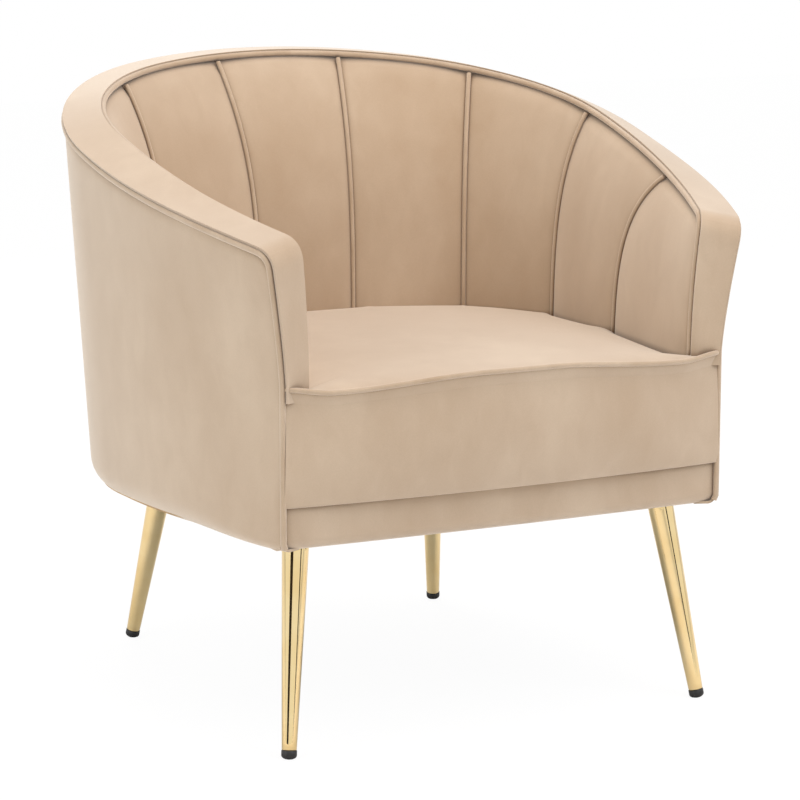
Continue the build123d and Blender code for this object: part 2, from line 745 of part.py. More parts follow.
def studs_and_nuts():
    """Leg studs up through the blocks, and the tee nuts that hold them."""
    studs = []
    nuts = []
    block_top = UNDERSIDE + BLOCK_HEIGHT
    for _, _, top in leg_places():
        start = UNDERSIDE - DUST_COVER_THICKNESS - LEG_CAP
        length = block_top + TEE_NUT_FLANGE_THICKNESS - start
        studs.append(Pos(top.X, top.Y, start + length / 2) * Cylinder(STUD_DIAMETER / 2, length))
        barrel_length = BLOCK_HEIGHT / 2
        barrel = Pos(top.X, top.Y, block_top - barrel_length / 2) * Cylinder(
            TEE_NUT_BARREL / 2 - GLIDE_CLEARANCE, barrel_length
        )
        flange = Pos(top.X, top.Y, block_top + TEE_NUT_FLANGE_THICKNESS / 2) * Cylinder(
            TEE_NUT_FLANGE / 2, TEE_NUT_FLANGE_THICKNESS
        )
        thread = Pos(top.X, top.Y, block_top) * Cylinder(STUD_HOLE / 2, 2 * BLOCK_HEIGHT)
        nuts.append((barrel + flange - thread).solids()[0])
    return Compound(children=[stud.solids()[0] for stud in studs]), Compound(children=nuts)


def build():
    """Every piece of the chair by name."""
    space = inside_rails()
    parts = {}
    parts["base_rail_back"], parts["base_rail_left"], parts["base_rail_right"] = curved_rails()
    parts["front_rail"] = front_rail(space)
    parts["corner_blocks"] = corner_blocks(space)
    parts["shell_board"] = shell_board()
    parts["top_rail"] = top_rail()
    parts["dust_cover"] = dust_cover(space)
    parts["seat_straps_long"], parts["seat_straps_cross"] = straps()
    parts["outer_cover"] = outer_cover()
    parts["rim_band"] = rim_band()
    parts["arm_front_right"], parts["arm_front_left"] = both_sides(arm_front())
    for index, pad in enumerate(channels(), start=1):
        parts[f"back_channel_{index}"] = pad
    parts["channel_welts"] = channel_welts()
    outer_turns = [(BODY_OFFSET, ARM_PANEL_BOTTOM), (BODY_OFFSET, UNDERSIDE + BOTTOM_ROLL)]
    parts["outer_welt"] = rim_welt(RIM_WIDTH, 0.0, outer_turns)
    parts["inner_welt"] = rim_welt(0.0, RIM_INNER_RISE, [(-INNER_WELT_FOOT, ARM_PANEL_BOTTOM)])
    parts["seat_cushion"] = seat_cushion()
    parts["seat_front_boxing"] = seat_front_boxing()
    parts["seat_welt"] = seat_welt()
    parts["front_rail_cover"] = front_rail_cover()
    for name, foot, top in leg_places():
        parts[f"leg_{name}"], parts[f"foot_{name}"] = leg(foot, top)
    parts["leg_studs"], parts["tee_nuts"] = studs_and_nuts()
    return parts


os.makedirs("parts", exist_ok=True)
for node, part in build().items():
    export_step(part, f"parts/{node}.step")
    print(node, round(part.volume))
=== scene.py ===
import json
import logging
import math
from dataclasses import dataclass, field, replace
from enum import Enum

import bmesh
import bpy
import numpy as np
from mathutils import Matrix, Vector


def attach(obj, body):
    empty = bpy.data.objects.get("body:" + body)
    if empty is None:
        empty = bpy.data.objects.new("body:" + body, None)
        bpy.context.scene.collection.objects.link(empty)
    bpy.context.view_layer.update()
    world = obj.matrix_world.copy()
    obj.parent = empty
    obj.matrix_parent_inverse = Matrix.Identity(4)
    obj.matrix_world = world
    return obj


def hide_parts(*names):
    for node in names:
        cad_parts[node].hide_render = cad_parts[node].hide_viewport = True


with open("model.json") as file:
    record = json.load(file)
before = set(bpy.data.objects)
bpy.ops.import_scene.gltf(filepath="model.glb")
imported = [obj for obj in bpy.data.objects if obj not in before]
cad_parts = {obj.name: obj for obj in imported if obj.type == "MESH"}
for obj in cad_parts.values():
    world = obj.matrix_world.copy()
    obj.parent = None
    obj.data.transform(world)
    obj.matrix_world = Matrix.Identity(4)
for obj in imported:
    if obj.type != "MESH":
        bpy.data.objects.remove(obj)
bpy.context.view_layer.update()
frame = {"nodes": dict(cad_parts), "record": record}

MM = 0.001
BODY = "root"
SHARP_ANGLE = 50.0
log = logging.getLogger("barrel_chair")


class Side(Enum):
    """The two sides of the chair, by the sign of X."""

    LEFT = -1.0
    RIGHT = 1.0


class Slot(Enum):
    """Material slots of the record."""

    VELVET = "velvet"
    PIPING = "piping"
    WOOD = "frame_wood"
    PLY = "plywood"
    WEBBING = "webbing"
    DUST = "dust_cloth"
    GOLD = "gold_metal"
    GLIDE = "glide_plastic"
    ZINC = "zinc_steel"


def linear(code: str) -> tuple[float, float, float, float]:
    """Turn an sRGB hex colour into linear RGBA.

    Args:
        code: Six hex digits with a leading #.

    Returns:
        Linear red, green, blue and an alpha of 1.
    """
    values = [int(code[i : i + 2], 16) / 255 for i in (1, 3, 5)]
    return (*[v / 12.92 if v <= 0.04045 else ((v + 0.055) / 1.055) ** 2.4 for v in values], 1.0)


def add_node(tree: bpy.types.NodeTree, kind: str, inputs: dict | None = None, **settings) -> bpy.types.Node:
    """Add one node with its settings and links.

    Args:
        tree: Node tree that takes the node.
        kind: The node's type name.
        inputs: Input name or index to a value or to the socket that feeds it.
        **settings: Properties set on the node.

    Returns:
        The new node.
    """
    node = tree.nodes.new(kind)
    for name, value in settings.items():
        setattr(node, name, value)
    for key, value in (inputs or {}).items():
        if isinstance(value, bpy.types.NodeSocket):
            tree.links.new(value, node.inputs[key])
        else:
            node.inputs[key].default_value = value
    return node


def new_material(name: str) -> tuple[bpy.types.Material, bpy.types.NodeTree, bpy.types.Node]:
    """Make an empty node material.

    Args:
        name: The material's name.

    Returns:
        The material, its tree and its Principled shader.
    """
    material = bpy.data.materials.new(name)
    material.use_nodes = True
    tree = material.node_tree
    tree.nodes.clear()
    shader = add_node(tree, "ShaderNodeBsdfPrincipled")
    add_node(tree, "ShaderNodeOutputMaterial", {"Surface": shader.outputs[0]})
    return material, tree, shader


@dataclass(frozen=True)
class VelvetFinish:
    """Short-pile polyester velvet: soft, with a bright edge and a brushed nap."""

    name: str = "beige_velvet"
    pile_hex: str = "#B9A38A"
    brushed_hex: str = "#C5B199"
    shaded_hex: str = "#B0987D"
    # Painted shade in seams and folds: its dark colour, its reach and the occlusion range that maps to it
    painted_crease_shade_hex: str = "#6E5238"
    crease_shade_mm: float = 9.0
    crease_shade_range: tuple[float, float] = (0.35, 0.92)
    grain_range: tuple[float, float] = (0.93, 1.07)
    nap_mm: float = 150.0
    brush_mm: float = 26.0
    pile_mm: float = 1.6  # drawn about three times coarser than the real pile, to show
    roughness: float = 0.88
    sheen: float = 1.0
    sheen_hex: str = "#FFF6EA"
    sheen_roughness: float = 0.58

    def material(self) -> bpy.types.Material:
        """Build the velvet."""
        material, tree, shader = new_material(self.name)
        place = add_node(tree, "ShaderNodeTexCoord").outputs["Object"]
        stretch = add_node(tree, "ShaderNodeMapping", {"Vector": place, "Scale": (1.0, 1.0, 0.55)})
        nap = add_node(
            tree, "ShaderNodeTexNoise",
            {
                "Vector": stretch.outputs[0], "Scale": 1 / (self.nap_mm * MM),
                "Detail": 3.0, "Roughness": 0.55,
            },
        )
        brush = add_node(
            tree, "ShaderNodeTexNoise",
            {
                "Vector": stretch.outputs[0], "Scale": 1 / (self.brush_mm * MM),
                "Detail": 4.0, "Distortion": 0.6,
            },
        )
        pile = add_node(
            tree, "ShaderNodeTexNoise",
            {"Vector": place, "Scale": 1 / (self.pile_mm * MM), "Detail": 2.0, "Roughness": 0.7},
        )
        mixed = add_node(
            tree, "ShaderNodeMix", {"Factor": 0.25, "A": nap.outputs["Fac"], "B": brush.outputs["Fac"]}
        )
        ramp = add_node(tree, "ShaderNodeValToRGB", {"Fac": mixed.outputs["Result"]})
        ramp.color_ramp.elements[0].position = 0.30
        ramp.color_ramp.elements[0].color = linear(self.shaded_hex)
        ramp.color_ramp.elements[1].position = 0.70
        ramp.color_ramp.elements[1].color = linear(self.brushed_hex)
        middle = ramp.color_ramp.elements.new(0.5)
        middle.color = linear(self.pile_hex)
        bump = add_node(
            tree, "ShaderNodeBump", {"Height": pile.outputs["Fac"], "Strength": 0.18, "Distance": 0.0006}
        )
        rough = add_node(
            tree, "ShaderNodeMapRange",
            {"Value": brush.outputs["Fac"], "To Min": self.roughness - 0.08, "To Max": self.roughness + 0.06},
        )
        low, high = self.grain_range
        grain = add_node(
            tree, "ShaderNodeMapRange", {"Value": pile.outputs["Fac"], "To Min": low, "To Max": high}
        )
        grained = add_node(
            tree, "ShaderNodeVectorMath",
            {0: ramp.outputs["Color"], 1: grain.outputs[0]}, operation="MULTIPLY",
        )
        # Painted shade: ambient occlusion over a short distance mixes the colour towards a dark brown along
        # seams, welts and in folds
        hidden = add_node(tree, "ShaderNodeAmbientOcclusion", {"Distance": self.crease_shade_mm * MM}, samples=8)
        low, high = self.crease_shade_range
        unshaded_share = add_node(
            tree, "ShaderNodeMapRange", {"Value": hidden.outputs["AO"], "From Min": low, "From Max": high}
        )
        color = add_node(
            tree, "ShaderNodeMix",
            {0: unshaded_share.outputs[0], 6: linear(self.painted_crease_shade_hex), 7: grained.outputs[0]}, data_type="RGBA",
        )
        tree.links.new(color.outputs[2], shader.inputs["Base Color"])
        tree.links.new(bump.outputs[0], shader.inputs["Normal"])
        tree.links.new(rough.outputs[0], shader.inputs["Roughness"])
        shader.inputs["Specular IOR Level"].default_value = 0.25
        shader.inputs["Sheen Weight"].default_value = self.sheen
        shader.inputs["Sheen Roughness"].default_value = self.sheen_roughness
        shader.inputs["Sheen Tint"].default_value = linear(self.sheen_hex)
        return material


@dataclass(frozen=True)
class SurfaceFinish:
    """A hard or plain finish with two mottled colours, a roughness spread and a fine bump."""

    name: str
    light_hex: str
    dark_hex: str
    grain_mm: float
    roughness: tuple[float, float]
    metallic: float = 0.0
    bump: float = 0.0
    stretch: tuple[float, float, float] = (1.0, 1.0, 1.0)

    def material(self) -> bpy.types.Material:
        """Build the finish."""
        material, tree, shader = new_material(self.name)
        place = add_node(tree, "ShaderNodeTexCoord").outputs["Object"]
        mapped = add_node(tree, "ShaderNodeMapping", {"Vector": place, "Scale": self.stretch})
        grain = add_node(
            tree, "ShaderNodeTexNoise",
            {"Vector": mapped.outputs[0], "Scale": 1 / (self.grain_mm * MM), "Detail": 4.0, "Roughness": 0.6},
        )
        ramp = add_node(tree, "ShaderNodeValToRGB", {"Fac": grain.outputs["Fac"]})
        ramp.color_ramp.elements[0].position = 0.35
        ramp.color_ramp.elements[0].color = linear(self.dark_hex)
        ramp.color_ramp.elements[1].position = 0.65
        ramp.color_ramp.elements[1].color = linear(self.light_hex)
        rough = add_node(
            tree, "ShaderNodeMapRange",
            {"Value": grain.outputs["Fac"], "To Min": self.roughness[0], "To Max": self.roughness[1]},
        )
        tree.links.new(ramp.outputs["Color"], shader.inputs["Base Color"])
        tree.links.new(rough.outputs[0], shader.inputs["Roughness"])
        shader.inputs["Metallic"].default_value = self.metallic
        if self.bump:
            bump = add_node(
                tree, "ShaderNodeBump",
                {"Height": grain.outputs["Fac"], "Strength": self.bump, "Distance": 0.0005},
            )
            tree.links.new(bump.outputs[0], shader.inputs["Normal"])
        return material


# Brushed velvet on the covers: a soft surface that brightens towards its edges
VELVET = VelvetFinish()
# The same velvet round a cord: a finer nap
PIPING_VELVET = replace(VELVET, name="piping_velvet", nap_mm=40.0, brush_mm=12.0)
# Polished gold plating on steel: clear reflections with a warm tint
GOLD = SurfaceFinish("gold_plating", "#F1DBA9", "#EACF97", 60.0, (0.05, 0.10), metallic=1.0)
# Moulded polyethylene glide: black, slightly waxy
GLIDE = SurfaceFinish("black_glide_plastic", "#1F1F1F", "#141414", 3.0, (0.42, 0.55), bump=0.1)
# Planed hardwood rails: straight grain along the rail
WOOD = SurfaceFinish(
    "planed_hardwood", "#C9A878", "#A67F4F", 9.0, (0.55, 0.7), bump=0.2, stretch=(0.2, 0.2, 1.0)
)
# Bent plywood: pale face veneer
PLY = SurfaceFinish(
    "bent_plywood", "#D0B183", "#B08A5A", 12.0, (0.5, 0.65), bump=0.15, stretch=(1.0, 1.0, 0.15)
)
# Woven elastic webbing: dark, ribbed
WEBBING = SurfaceFinish("elastic_webbing", "#3A3733", "#22201D", 2.0, (0.8, 0.9), bump=0.4)
# Non-woven dust cloth: black, fibrous
DUST = SurfaceFinish("dust_cloth", "#1B1B1B", "#101010", 4.0, (0.85, 0.95), bump=0.3)
# Zinc-plated steel studs, nuts and staples: grey, dull mirror
ZINC = SurfaceFinish("zinc_plated_steel", "#C8CACC", "#A9ACAF", 5.0, (0.25, 0.4), metallic=1.0)


@dataclass(frozen=True)
class Plan:
    """A horseshoe outline of three tangent arcs a side, in metres."""

    back_radius: float
    corner_radius: float
    corner_x: float
    corner_y: float
    side_radius: float
    arm_sweep: float

    def grown(self, distance: float | np.ndarray) -> "Plan":
        """The same arcs moved outwards by a distance."""
        return replace(
            self,
            back_radius=self.back_radius + distance,
            corner_radius=self.corner_radius + distance,
            side_radius=self.side_radius + distance,
        )

    def at(self, share: np.ndarray, offset: np.ndarray | float = 0.0) -> tuple[np.ndarray, np.ndarray]:
        """Points and outward normals along the outline.

        Args:
            share: Shares of the half outline, negative on the left.
            offset: Distance that each point is moved outwards.

        Returns:
            Plan points and plan normals, one row each.
        """
        reach = self.back_radius - self.corner_radius
        turn = math.asin(self.corner_x / reach)
        back_y = self.corner_y - math.sqrt(reach**2 - self.corner_x**2)
        side_x = self.corner_x + self.corner_radius - self.side_radius
        lengths = np.array(
            [
                self.back_radius * turn,
                self.corner_radius * (math.pi / 2 - turn),
                self.side_radius * math.radians(self.arm_sweep),
            ]
        )
        share = np.asarray(share, float)
        travel = np.abs(share) * lengths.sum()
        first, second = lengths[0], lengths[0] + lengths[1]
        on_back, on_corner = travel <= first, travel <= second
        angle = np.where(
            on_back,
            travel / self.back_radius,
            np.where(
                on_corner,
                turn + (travel - first) / self.corner_radius,
                math.pi / 2 + (travel - second) / self.side_radius,
            ),
        )
        past_back = np.where(on_corner, self.corner_radius, self.side_radius)
        radius = np.where(on_back, self.back_radius, past_back)
        centre_x = np.where(on_back, 0.0, np.where(on_corner, self.corner_x, side_x))
        centre_y = np.where(on_back, back_y, self.corner_y)
        sign = np.where(share < 0, -1.0, 1.0)
        normal = np.stack([sign * np.sin(angle), np.cos(angle)], -1)
        x = sign * (centre_x + (radius + offset) * np.sin(angle))
        y = centre_y + (radius + offset) * np.cos(angle)
        return np.stack([x, y], -1), normal


def smooth_step(value: np.ndarray, low: float, high: float) -> np.ndarray:
    """Ease from 0 at low to 1 at high."""
    t = np.clip((np.asarray(value, float) - low) / (high - low), 0.0, 1.0)
    return t * t * (3 - 2 * t)


def unit(vectors: np.ndarray) -> np.ndarray:
    """Rows scaled to length 1."""
    return vectors / np.maximum(np.linalg.norm(vectors, axis=-1, keepdims=True), 1e-12)


@dataclass
class MeshMaker:
    """Turns grids and rings of points into finished pieces of the chair."""

    materials: dict[Slot, bpy.types.Material]

    def piece(
        self, name: str, points: np.ndarray, faces: list, slot: Slot,
        nodes: tuple[str, ...] = (), fill: float = -1.0,
    ) -> bpy.types.Object:
        """Make, shade and register one piece.

        Args:
            name: Name of the piece.
            points: Its vertices.
            faces: Its faces as lists of vertex numbers.
            slot: Its material slot.
            nodes: Solids that it stands for.
            fill: How full a padded piece is, or negative where it isn't padded; not used.

        Returns:
            The finished object.
        """
        mesh = bpy.data.meshes.new(name)
        mesh.from_pydata([tuple(p) for p in points], [], faces)
        work = bmesh.new()
        work.from_mesh(mesh)
        bmesh.ops.remove_doubles(work, verts=work.verts, dist=1e-6)
        bmesh.ops.recalc_face_normals(work, faces=work.faces)
        work.to_mesh(mesh)
        work.free()
        return self.register(name, mesh, slot, nodes, fill)

    def register(
        self, name: str, mesh: bpy.types.Mesh, slot: Slot, nodes: tuple[str, ...] = (), fill: float = -1.0
    ) -> bpy.types.Object:
        """Link a mesh as a piece that rides on the chair; arguments as for piece."""
        mesh.materials.clear()
        mesh.materials.append(self.materials[slot])
        mesh.shade_smooth()
        mesh.set_sharp_from_angle(angle=math.radians(SHARP_ANGLE))
        piece = bpy.data.objects.new(name, mesh)
        bpy.context.scene.collection.objects.link(piece)
        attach(piece, BODY)
        if nodes:
            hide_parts(*nodes)
        log.info("%s: %d faces", name, len(mesh.polygons))
        return piece

    def pad(self, name: str, front: np.ndarray, back: np.ndarray, node: str, fill: float) -> None:
        """Close two point grids of the same shape into one padded velvet piece.

        Args:
            name: Name of the piece.
            front: Rows by columns of points on the shown side.
            back: The same grid on the hidden side.
            node: Solid that the piece stands for.
            fill: How full it is; not used.
        """
        rows, columns = front.shape[:2]
        count = rows * columns
        grid = np.arange(count).reshape(rows, columns)
        quads = np.stack([grid[:-1, :-1], grid[:-1, 1:], grid[1:, 1:], grid[1:, :-1]], -1).reshape(-1, 4)
        faces = quads.tolist() + (quads[:, ::-1] + count).tolist()
        border = np.concatenate([grid[0, :], grid[1:, -1], grid[-1, -2::-1], grid[-2:0:-1, 0]])
        for a, b in zip(border, np.roll(border, -1)):
            faces.append([int(b), int(a), int(a) + count, int(b) + count])
        points = np.concatenate([front.reshape(-1, 3), back.reshape(-1, 3)])
        self.piece(name, points, faces, Slot.VELVET, (node,), fill)

    @staticmethod
    def stacked_rings(rings: np.ndarray) -> tuple[np.ndarray, list]:
        """Join closed rings in order and cap both ends.

        Args:
            rings: Ring by point by coordinate.

        Returns:
            Points and faces.
        """
        count, around = rings.shape[:2]
        grid = np.arange(count * around).reshape(count, around)
        following = np.roll(grid, -1, axis=1)
        quads = np.stack([grid[:-1], following[:-1], following[1:], grid[1:]], -1).reshape(-1, 4)
        faces = quads.tolist()
        points = np.concatenate([rings.reshape(-1, 3), rings[[0, -1]].mean(axis=1)])
        for ring, centre in ((grid[0], count * around), (grid[-1], count * around + 1)):
            faces += [[int(a), int(b), centre] for a, b in zip(ring, np.roll(ring, -1))]
        return points, faces


@dataclass
class PipingCord:
    """Velvet-covered piping: a round cord along a path, made by one Geometry Nodes tree."""

    maker: MeshMaker
    sides: int = 12
    tree: bpy.types.NodeTree = field(init=False)

    def __post_init__(self) -> None:
        """Build the tree once."""
        tree = bpy.data.node_groups.new("PipingCord", "GeometryNodeTree")
        sockets = {"Path": "NodeSocketGeometry", "Cord radius": "NodeSocketFloat", "Step": "NodeSocketFloat"}
        for name, kind in sockets.items():
            tree.interface.new_socket(name=name, in_out="INPUT", socket_type=kind)
        tree.interface.new_socket(name="Cord", in_out="OUTPUT", socket_type="NodeSocketGeometry")
        inlet = add_node(tree, "NodeGroupInput")
        line = add_node(tree, "GeometryNodeMeshToCurve", {"Mesh": inlet.outputs["Path"]})
        even = add_node(
            tree, "GeometryNodeResampleCurve",
            {"Curve": line.outputs[0], "Length": inlet.outputs["Step"]}, mode="LENGTH",
        )
        ring = add_node(
            tree, "GeometryNodeCurvePrimitiveCircle",
            {"Resolution": self.sides, "Radius": inlet.outputs["Cord radius"]},
        )
        cord = add_node(
            tree, "GeometryNodeCurveToMesh",
            {"Curve": even.outputs[0], "Profile Curve": ring.outputs[0], "Fill Caps": True},
        )
        smooth = add_node(tree, "GeometryNodeSetShadeSmooth", {"Geometry": cord.outputs[0]})
        real = add_node(tree, "GeometryNodeRealizeInstances", {"Geometry": smooth.outputs[0]})
        dressed = add_node(
            tree, "GeometryNodeSetMaterial",
            {"Geometry": real.outputs[0], "Material": self.maker.materials[Slot.PIPING]},
        )
        add_node(tree, "NodeGroupOutput", {"Cord": dressed.outputs[0]})
        self.tree = tree

    def lay(
        self, name: str, paths: list[np.ndarray], radius: float, nodes: tuple[str, ...] = (),
        slot: Slot = Slot.PIPING, step: float = 6.0 * MM,
    ) -> bpy.types.Object:
        """Lay cords along paths as one piece.

        Args:
            name: Name of the piece.
            paths: Point rows, one array a cord.
            radius: Radius of the cord.
            nodes: Solids that the piece stands for.
            slot: Material slot of the piece.
            step: Distance between the rings of the cord.

        Returns:
            The finished piece.
        """
        points = np.concatenate(paths)
        edges = []
        start = 0
        for path in paths:
            edges += [(start + i, start + i + 1) for i in range(len(path) - 1)]
            start += len(path)
        guide_mesh = bpy.data.meshes.new(name + "_path")
        guide_mesh.from_pydata([tuple(p) for p in points], edges, [])
        guide = bpy.data.objects.new(name + "_path", guide_mesh)
        bpy.context.scene.collection.objects.link(guide)
        modifier = guide.modifiers.new("cord", "NODES")
        modifier.node_group = self.tree
        values = {"Cord radius": radius, "Step": step}
        for item in self.tree.interface.items_tree:
            if item.name in values:
                modifier[item.identifier] = values[item.name]
        graph = bpy.context.evaluated_depsgraph_get()
        mesh = bpy.data.meshes.new_from_object(guide.evaluated_get(graph))
        mesh.name = name
        bpy.data.objects.remove(guide)
        return self.maker.register(name, mesh, slot, nodes)


@dataclass
class Shell:
    """The wrap-round back and arms: cover, rim band, arm fronts, channels and piping."""

    maker: MeshMaker
    cords: PipingCord
    rim: Plan = Plan(0.443, 0.254, 0.074, 0.0325, 0.883, 22.5)
    seat: Plan = Plan(0.560, 0.150, 0.136, 0.0425, 1.700, 11.55)
    rim_width: float = 46.0 * MM
    rim_height: float = 658.6 * MM
    rim_slope: float = 0.27381
    rim_sag: float = 0.05793
    underside: float = 239.5 * MM
    body_offset: float = 22.0 * MM
    front_foot_offset: float = 24.5 * MM
    roll: float = 38.0 * MM
    front_roll: float = 10.0 * MM
    tuck: float = 16.0 * MM
    cover_thickness: float = 3.0 * MM
    board_offset: float = 7.4 * MM
    corner: float = 17.0 * MM
    seat_line: float = 421.0 * MM
    arm_inner_foot: float = 10.0 * MM
    channel_base: float = 302.0 * MM
    channel_flare: float = 4.5
    channel_crown: float = 12.5 * MM
    welt_radius: float = 3.6 * MM
    channel_welt_radius: float = 2.9 * MM
    outer_drop: float = 7.0 * MM
    inner_rise: float = 7.6 * MM
    inner_gain: float = 0.0084
    corner_lift: float = 3.2 * MM
    back_dip: float = 6.9 * MM
    outer_flare_top: float = 565.0 * MM
    inner_flare_top: float = 576.0 * MM
    outer_welt_proud: float = 1.2 * MM
    inner_welt_proud: float = 2.64 * MM
    inner_welt_tuck: float = 10.0 * MM
    panel_tuck: float = 14.0 * MM
    band_bulge: float = 1.8 * MM
    band_depth: float = 8.0 * MM
    band_sink: float = 5.0 * MM
    cover_sink: float = 2.8 * MM
    channel_tuck: float = 5.0 * MM
    back_length: float = 0.475  # half the back and one corner, along the rim
    seam_rim: tuple[float, ...] = (0.106, 0.320, 0.550, 0.817, 1.0)
    seam_seat: tuple[float, ...] = (0.094, 0.302, 0.490, 0.706, 1.0)

    def rim_line(self, y: np.ndarray) -> np.ndarray:
        """Height of the rim at a depth: a long shallow curve."""
        d = np.asarray(y, float) - self.rim.corner_y
        return self.rim_height + self.rim_slope * d + self.rim_sag * d * d

    def outer_height(self, y: np.ndarray) -> np.ndarray:
        """Height of the outer piping line, which drops behind the arms."""
        return self.rim_line(y) - self.outer_drop * smooth_step(y, -0.30, 0.0)

    def inner_height(self, y: np.ndarray) -> np.ndarray:
        """Height of the inner piping line, above the outer one, most of all at the corners."""
        lift = self.corner_lift * smooth_step(y, -0.30, 0.04) - self.back_dip * smooth_step(y, 0.06, 0.31)
        return self.rim_line(y) + self.inner_rise + self.inner_gain * np.asarray(y, float) + lift

    def arm_frame(self) -> tuple[np.ndarray, np.ndarray, np.ndarray]:
        """Root, outward direction and forward direction of the right arm's end plane."""
        angle = math.radians(self.rim.arm_sweep)
        rim = self.rim
        root = np.array([rim.corner_x + rim.corner_radius - rim.side_radius, rim.corner_y])
        outward = np.array([math.cos(angle), -math.sin(angle)])
        return root, outward, np.array([-math.sin(angle), -math.cos(angle)])

    def front_offset(self, z: np.ndarray, outer: bool) -> np.ndarray:
        """Offset of an arm-front edge at a height: upright low down, flaring to the rim."""
        z = np.asarray(z, float)
        flare_top = self.outer_flare_top if outer else self.inner_flare_top
        rise = np.clip((z - self.seat_line) / (flare_top - self.seat_line), 0.0, 1.2)
        if outer:
            return self.front_foot_offset + (self.rim_width - self.front_foot_offset) * rise**1.3
        return self.arm_inner_foot * (rise**1.8 - 1.0)

    def edge_path(self, outer: bool, foot: float, rim_steps: int = 150) -> tuple[np.ndarray, int]:
        """Centre line of a rim piping from the middle of the back to the foot of the right arm front.

        Args:
            outer: The outer line, or else the inner one.
            foot: Height at which the line ends.
            rim_steps: Points along the rim.

        Returns:
            Points, and the number of the point in the middle of the rounded arm corner.
        """
        offset = self.rim_width if outer else 0.0
        height = self.outer_height if outer else self.inner_height
        radius = self.rim.side_radius + offset
        sweep = self.rim.arm_sweep - math.degrees(self.corner / radius)
        plan = replace(self.rim.grown(offset), arm_sweep=sweep)
        flat, _ = plan.at(np.linspace(0.0, 1.0, rim_steps))
        rim = np.column_stack([flat, height(flat[:, 1])])
        root, across, _ = self.arm_frame()
        tip_plan = root + across * radius
        tip = np.array([*tip_plan, float(height(tip_plan[1]))])
        levels = np.linspace(tip[2] - self.corner, foot, 60)
        offsets = self.front_offset(levels, outer)
        edge = np.column_stack([root + np.outer(self.rim.side_radius + offsets, across), levels])
        share = np.linspace(0.0, 1.0, 13)[1:-1, None]
        bend = tip + (rim[-1] - tip) * (1 - share) ** 2 + (edge[0] - tip) * share**2
        return np.concatenate([rim, bend, edge]), rim_steps + len(bend) // 2

    @staticmethod
    def mirrored(path: np.ndarray) -> np.ndarray:
        """A path from the right arm to the left through the middle, from its right half."""
        left = path[:0:-1] * np.array([-1.0, 1.0, 1.0])
        return np.concatenate([left, path])

    def piping(self) -> None:
        """Lay the outer and inner rim pipings and the channel pipings."""
        outer, _ = self.edge_path(True, self.underside + self.front_roll)
        angle = np.linspace(0.0, 0.7, 8)[1:]
        root, across, _ = self.arm_frame()
        offsets = self.front_foot_offset - self.front_roll * (1 - np.cos(angle))
        under = np.column_stack(
            [
                root + np.outer(self.rim.side_radius + offsets, across),
                self.underside + self.front_roll * (1 - np.sin(angle)),
            ]
        )
        outer = np.concatenate([outer, under]) + np.array([0.0, 0.0, self.outer_welt_proud])
        inner, _ = self.edge_path(False, self.seat_line - self.inner_welt_tuck)
        inner = inner + np.array([0.0, 0.0, self.inner_welt_proud])
        self.cords.lay("outer_piping", [self.mirrored(outer)], self.welt_radius, ("outer_welt",))
        self.cords.lay("inner_piping", [self.mirrored(inner)], self.welt_radius, ("inner_welt",))
        seams = []
        for sign in (-1.0, 1.0):
            for share_rim, share_seat in zip(self.seam_rim[:-1], self.seam_seat[:-1]):
                level = np.linspace(0.2, 0.997, 60)
                place, normal = self.inside(
                    np.full_like(level, sign * share_rim), np.full_like(level, sign * share_seat), level
                )
                seams.append(place - normal * (self.channel_welt_radius * 1.1))
        self.cords.lay("channel_piping", seams, self.channel_welt_radius, ("channel_welts",))

    def inside(
        self, share_rim: np.ndarray, share_seat: np.ndarray, level: np.ndarray
    ) -> tuple[np.ndarray, np.ndarray]:
        """Points and outward normals on the inside of the back, without the channels' crown.

        Args:
            share_rim: Shares along the rim.
            share_seat: Shares along the seat line.
            level: Shares of the way up from the base to the rim.

        Returns:
            Points and normals, alike in shape.
        """
        top, top_normal = self.rim.at(share_rim)
        foot, foot_normal = self.seat.at(share_seat)
        flare = (level**self.channel_flare)[..., None]
        flat = foot + (top - foot) * flare
        normal = unit(foot_normal + (top_normal - foot_normal) * flare)
        rim_z = self.inner_height(flat[..., 1]) - self.welt_radius * 0.3
        z = self.channel_base + level * (rim_z - self.channel_base)
        level_normal = np.concatenate([normal, np.zeros_like(z)[..., None]], -1)
        return np.concatenate([flat, z[..., None]], -1), level_normal

    @staticmethod
    def channel_shares(half: tuple[float, ...], first: int, across: np.ndarray) -> np.ndarray:
        """Shares along the rim or the seat line across one channel.

        Args:
            half: Seam shares of the right half.
            first: Number of the channel, from the left arm.
            across: Shares of the way from its left seam to its right seam.

        Returns:
            Shares along the line, alike in shape to across.
        """
        seams = [-share for share in reversed(half)] + list(half)
        return seams[first] + (seams[first + 1] - seams[first]) * across

    def channel_front(self, first: int, across: np.ndarray, level: np.ndarray) -> np.ndarray:
        """Shown face of a channel.

        Args:
            first: Number of the channel, from the left arm.
            across: Shares of the way from its left seam to its right seam.
            level: Shares of the way up.

        Returns:
            Points, alike in shape to across and level.
        """
        share_rim = self.channel_shares(self.seam_rim, first, across)
        share_seat = self.channel_shares(self.seam_seat, first, across)
        place, normal = self.inside(share_rim, share_seat, level)
        bow = np.clip(1 - np.abs(2 * across - 1) ** 2.3, 0.0, 1.0) ** 0.55
        crown = self.channel_crown * (1 - 0.55 * level**3) * bow
        tucked = self.channel_tuck * smooth_step(level, 0.97, 1.0)
        return place - normal * (crown - tucked)[..., None]

    def channels(self) -> None:
        """Make the nine crowned channels."""
        edge = 0.5 - 0.5 * np.cos(np.linspace(0.0, math.pi, 41))
        levels = np.linspace(0.0, 1.0, 61)
        across, level = np.meshgrid(edge, levels)
        for number in range(2 * len(self.seam_rim) - 1):
            front = self.channel_front(number, across, level)
            flat, _ = self.rim.at(self.channel_shares(self.seam_rim, number, across), self.board_offset)
            back = np.concatenate([flat, front[..., 2:]], -1)
            self.maker.pad(f"channel_{number + 1}", front, back, f"back_channel_{number + 1}", 0.7)

